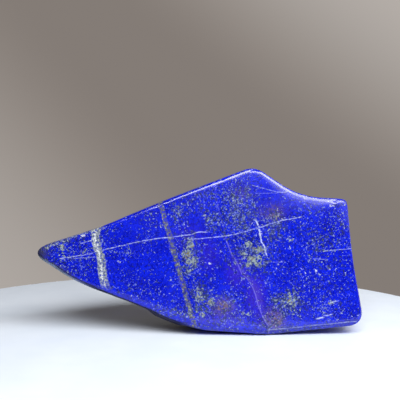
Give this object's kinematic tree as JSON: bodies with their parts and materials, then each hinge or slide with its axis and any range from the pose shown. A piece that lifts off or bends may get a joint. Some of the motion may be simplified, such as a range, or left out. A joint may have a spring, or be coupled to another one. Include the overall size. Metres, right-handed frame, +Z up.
{
  "type": "polished lapis lazuli freeform",
  "caption": "Polished lapis lazuli freeform: a deep blue pointed slab with rounded edges, standing on a small flat spot ground under its heavy end.",
  "frame": {"origin": "middle of the stone's box, on the surface that its flat spot rests on", "axes": "+X along the length from the pointed end to the broad heel, +Y through the thickness from the polished front face to the back, +Z up"},
  "size_m": [0.1334, 0.0364, 0.068],
  "materials": {
    "lapis": "hand polished to a soft gloss, deep blue with white calcite veins and pale pyrite specks"
  },
  "bodies": {
    "root": {"lapis_lazuli": "lapis"}
  },
  "joints": []
}
